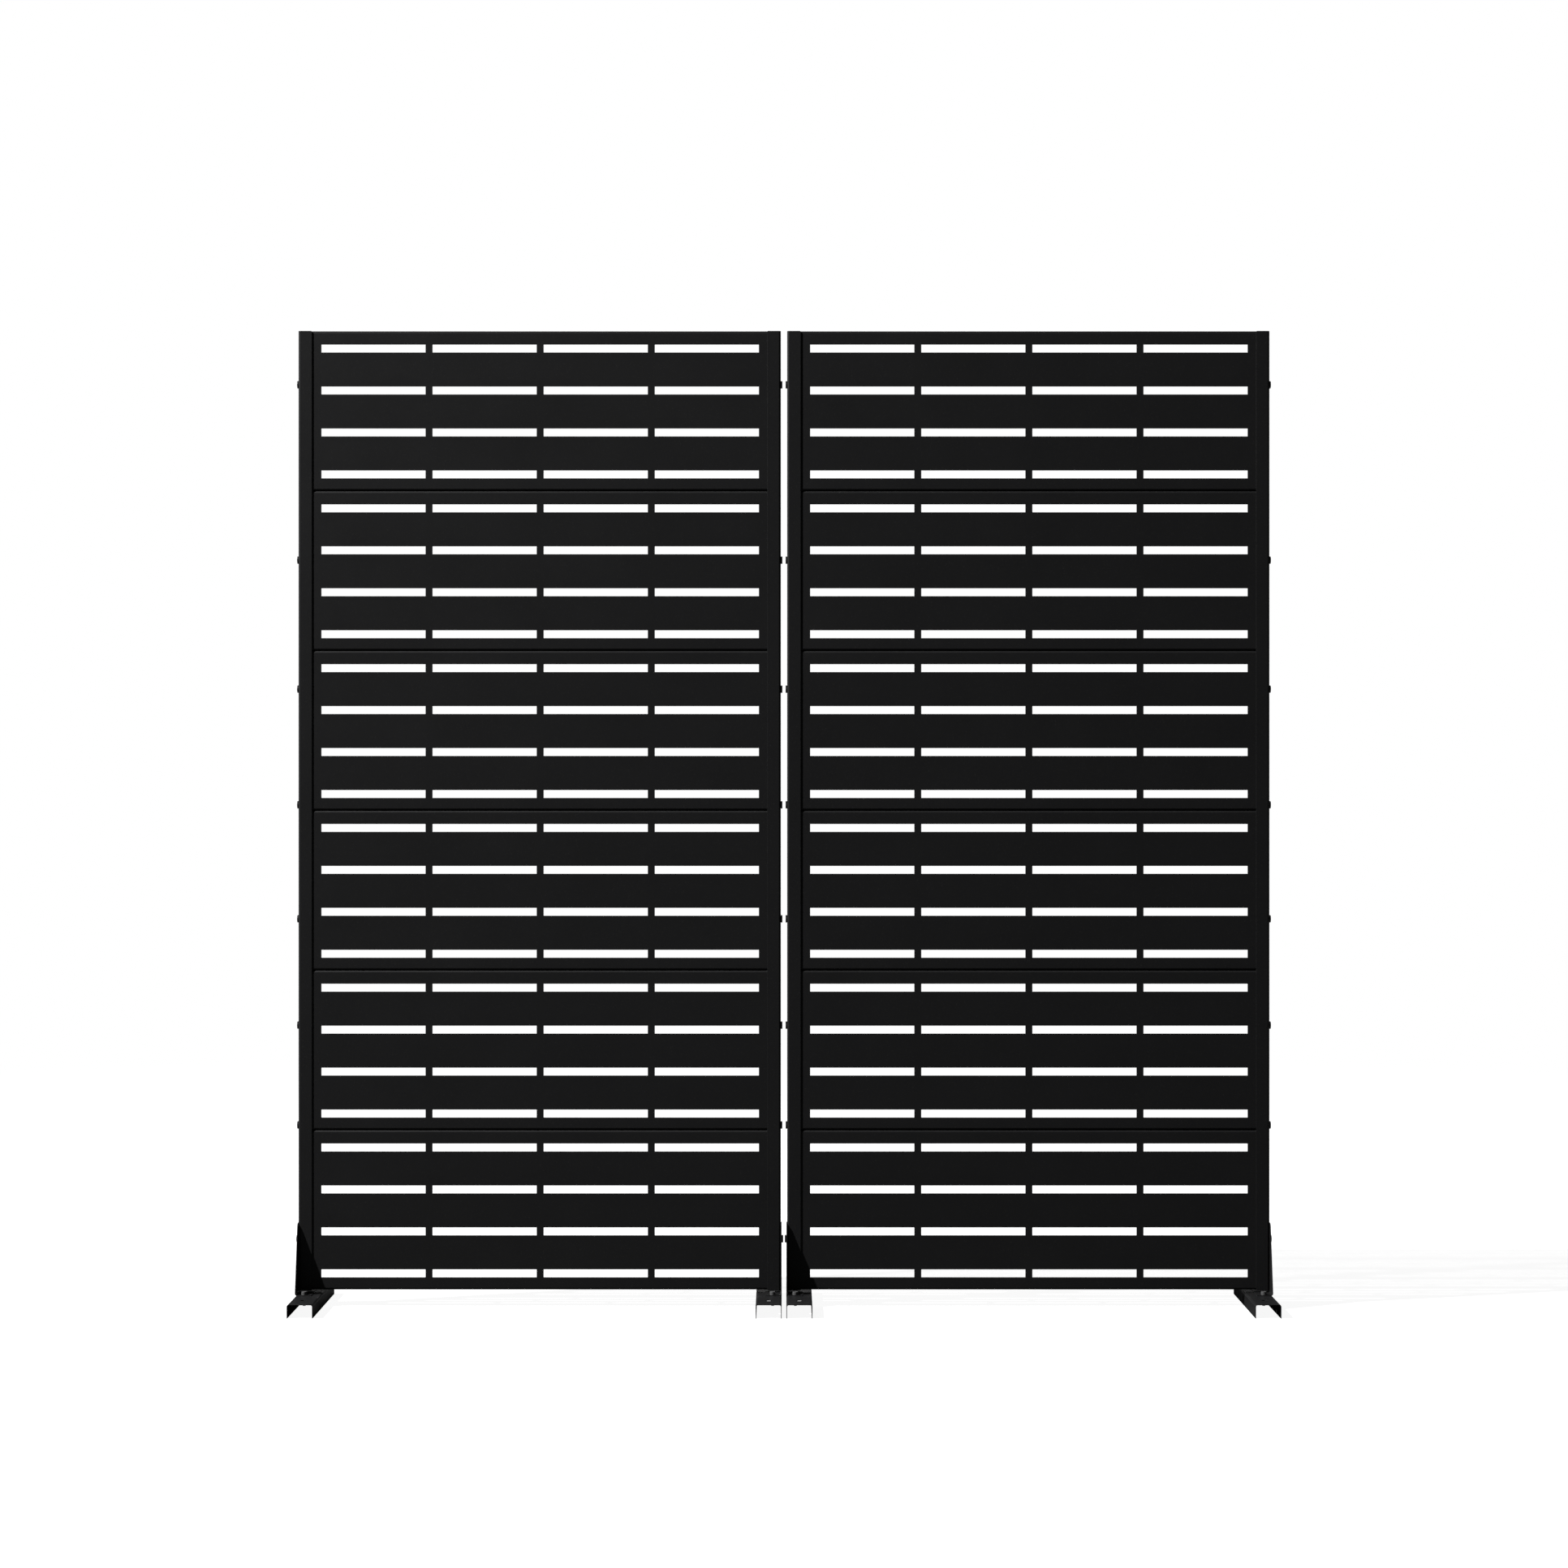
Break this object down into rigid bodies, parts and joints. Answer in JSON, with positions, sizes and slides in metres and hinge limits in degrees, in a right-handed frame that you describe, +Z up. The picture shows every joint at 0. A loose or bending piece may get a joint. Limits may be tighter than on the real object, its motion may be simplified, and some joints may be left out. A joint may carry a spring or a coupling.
{
  "type": "garden privacy screen",
  "caption": "Free-standing slotted sheet-steel garden screens, side by side, each of stacked folded trays held between channel posts on channel feet.",
  "frame": {"origin": "on the ground, midway between the two screens and midway along the feet", "axes": "+X across both screens to the right, +Y from the front to the back, +Z up"},
  "size_m": [1.8006, 0.3, 1.8],
  "materials": {
    "tray_coat": "black satin powder coat on folded sheet steel",
    "frame_coat": "black satin powder coat on posts, gussets and feet",
    "bolt_black": "black-coated steel bolts, slightly glossier than the sheet",
    "nut_black": "black-finished steel nuts"
  },
  "bodies": {
    "root": {"left_tray_1": "tray_coat", "left_tray_2": "tray_coat", "left_tray_3": "tray_coat", "left_tray_4": "tray_coat", "left_tray_5": "tray_coat", "left_tray_6": "tray_coat", "left_outer_post": "frame_coat", "left_outer_foot": "frame_coat", "left_outer_gusset": "frame_coat", "left_outer_side_bolts": "bolt_black", "left_outer_side_nuts": "nut_black", "left_inner_post": "frame_coat", "left_inner_foot": "frame_coat", "left_inner_gusset": "frame_coat", "left_inner_side_bolts": "bolt_black", "left_inner_side_nuts": "nut_black", "left_gusset_bolts": "bolt_black", "left_gusset_nuts": "nut_black", "left_foot_bolts": "bolt_black", "left_foot_nuts": "nut_black", "right_tray_1": "tray_coat", "right_tray_2": "tray_coat", "right_tray_3": "tray_coat", "right_tray_4": "tray_coat", "right_tray_5": "tray_coat", "right_tray_6": "tray_coat", "right_outer_post": "frame_coat", "right_outer_foot": "frame_coat", "right_outer_gusset": "frame_coat", "right_outer_side_bolts": "bolt_black", "right_outer_side_nuts": "nut_black", "right_inner_post": "frame_coat", "right_inner_foot": "frame_coat", "right_inner_gusset": "frame_coat", "right_inner_side_bolts": "bolt_black", "right_inner_side_nuts": "nut_black", "right_gusset_bolts": "bolt_black", "right_gusset_nuts": "nut_black", "right_foot_bolts": "bolt_black", "right_foot_nuts": "nut_black"}
  },
  "joints": []
}
